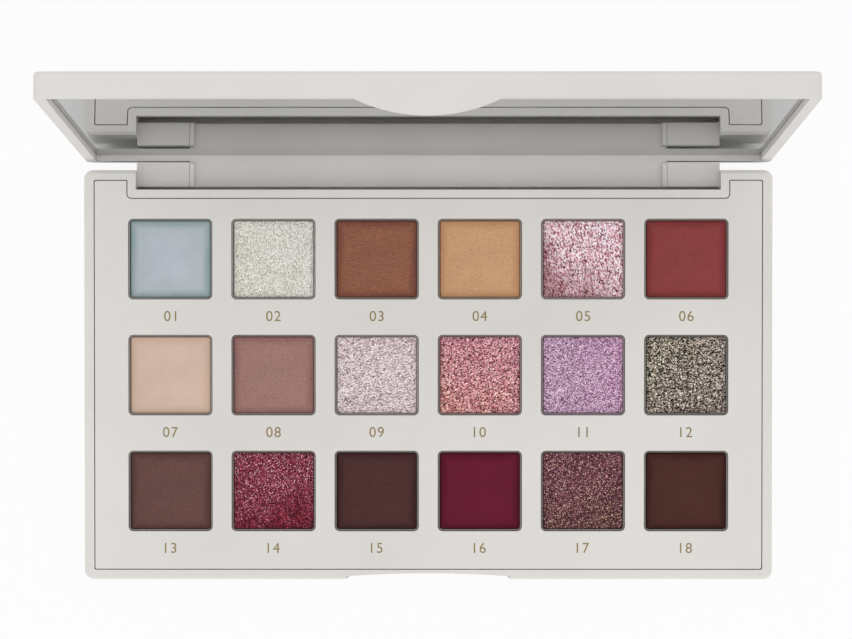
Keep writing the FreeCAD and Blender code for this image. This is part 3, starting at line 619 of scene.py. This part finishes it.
casing = satin_plastic("casing", CASING_GREY, roughness=0.42)
for node in ("base_shell", "lid_shell"):
    dress(node, casing)
dress("pan_deck", satin_plastic("deck", CASING_GREY, roughness=0.46))
dress("mirror", mirror_glass())
dress("mirror_adhesive", soft_film("adhesive", ADHESIVE_CREAM, roughness=0.6))
dress("pan_glue_dots", soft_film("glue", GLUE_AMBER, roughness=0.4))
pin_steel = dusted_metal("pin_steel", STEEL, GREY_DUST, dust_share=0.2)
for node in ("hinge_pin_left", "hinge_pin_right"):
    dress(node, pin_steel)
magnet = dusted_metal("magnet", MAGNET_NICKEL, GREY_DUST, dust_share=0.2)
for node in ("base_magnets", "lid_magnets"):
    dress(node, magnet)
for number, shade in SHADES.items():
    pan_metal = dusted_metal("pan_metal_%02d" % number, TINPLATE, linear(*shade.body), dust_share=0.25)
    dress("pan_%02d" % number, pan_metal)
    powder_cake(number, shade)
shade_numbers()

# Floor, light and camera. The floor's size and the lamps' sizes and distance are in metres.

FLOOR_SIZE = 6.0
FLOOR_TONE = (0.68, 0.68, 0.68, 1.0)
FLOOR_WHITE = 0.93
FLOOR_WHITE_IN_MIRROR = 0.34
WORLD_LIGHT = 0.99

# The floor under the object, which shows no white in a reflection
SHADED_HALF_WIDTH = 76.0
SHADED_HALF_LENGTH = 48.0
SHADED_MIDDLE_Y = 2.0
SHADE_FADE = 6.0


def studio_floor():
    """A pale sheet that looks white to the camera and still keeps a soft shadow."""
    mesh = bmesh.new()
    bmesh.ops.create_grid(mesh, x_segments=4, y_segments=4, size=FLOOR_SIZE / 2)
    data = bpy.data.meshes.new("floor")
    mesh.to_mesh(data)
    mesh.free()
    floor = bpy.data.objects.new("floor", data)
    scene.collection.objects.link(floor)
    shading = Shading("floor")
    shading.set(Base_Color=FLOOR_TONE, Roughness=0.8, Specular_IOR_Level=0.0)
    glow = shading.add("Emission", {"Color": WHITE, "Strength": 1.0})
    split = shading.add("SeparateXYZ", {"Vector": shading.millimetres}).outputs
    beside = shading.calc("SUBTRACT", shading.calc("ABSOLUTE", split["X"]), SHADED_HALF_WIDTH)
    from_middle = shading.calc("ABSOLUTE", shading.calc("SUBTRACT", split["Y"], SHADED_MIDDLE_Y))
    clear = shading.calc("MAXIMUM", beside, shading.calc("SUBTRACT", from_middle, SHADED_HALF_LENGTH))
    mirrored = shading.remap(clear, band=(0.0, SHADE_FADE), to=(0.0, FLOOR_WHITE_IN_MIRROR), smooth=True)
    share = shading.seen_share(FLOOR_WHITE, mirrored)
    joined = shading.add("MixShader", {0: share, 1: shading.surface.outputs[0], 2: glow.outputs[0]})
    shading.feed(shading.tree.nodes["Material Output"], {"Surface": joined.outputs[0]})
    data.materials.append(shading.material)


def studio_world():
    """Even light from all around, seen as plain white."""
    world = bpy.data.worlds.new("studio")
    world.use_nodes = True
    scene.world = world
    studio = Nodes(world.node_tree)
    light = studio.add("Background", {"Color": WHITE, "Strength": WORLD_LIGHT})
    white = studio.add("Background", {"Color": WHITE, "Strength": 1.0})
    share = studio.seen_share(1.0, 1.0)
    joined = studio.add("MixShader", {0: share, 1: light.outputs[0], 2: white.outputs[0]})
    studio.feed(studio.tree.nodes["World Output"], {"Surface": joined.outputs[0]})


Softbox = namedtuple("Softbox", "name azimuth elevation side share")
SOFTBOX_DISTANCE = 2.6
SOFTBOXES = (
    Softbox(name="front_left", azimuth=250.0, elevation=20.0, side=1.1, share=0.035),
    Softbox(name="front_right", azimuth=290.0, elevation=20.0, side=1.1, share=0.035),
)


def softbox(spec):
    """A square area lamp aimed at the object, giving this share of the light on a level surface."""
    turn = math.radians(spec.azimuth)
    height = math.radians(spec.elevation)
    toward = Vector((math.cos(turn) * math.cos(height), math.sin(turn) * math.cos(height), math.sin(height)))
    lamp = bpy.data.lights.new(spec.name, "AREA")
    lamp.shape = "SQUARE"
    lamp.size = spec.side
    solid_angle = spec.side ** 2 / SOFTBOX_DISTANCE ** 2
    radiance = spec.share * math.pi / (solid_angle * math.sin(height))
    lamp.energy = radiance * math.pi * spec.side ** 2
    holder = bpy.data.objects.new(spec.name, lamp)
    holder.location = toward * SOFTBOX_DISTANCE
    holder.rotation_euler = toward.to_track_quat("Z", "Y").to_euler()
    holder.visible_camera = False
    scene.collection.objects.link(holder)


# The camera's turn is in degrees, and the start of what it sees is in metres
CAMERA_PLACE = (1.26, 27.45, 723.1)
CAMERA_TURN = (-1.115, 0.145, -0.003)
CAMERA_LENS = 123.52
CAMERA_SENSOR = 36.0
CAMERA_CLIP_START = 0.01


def studio_camera():
    """The photograph's camera, nearly straight above."""
    data = bpy.data.cameras.new("camera")
    data.lens = CAMERA_LENS
    data.sensor_width = CAMERA_SENSOR
    data.clip_start = CAMERA_CLIP_START
    camera = bpy.data.objects.new("camera", data)
    camera.location = Vector(CAMERA_PLACE) * MM
    camera.rotation_euler = Euler([math.radians(angle) for angle in CAMERA_TURN])
    scene.collection.objects.link(camera)
    scene.camera = camera


studio_floor()
studio_world()
for spec in SOFTBOXES:
    softbox(spec)
studio_camera()
scene.view_settings.view_transform = "Standard"
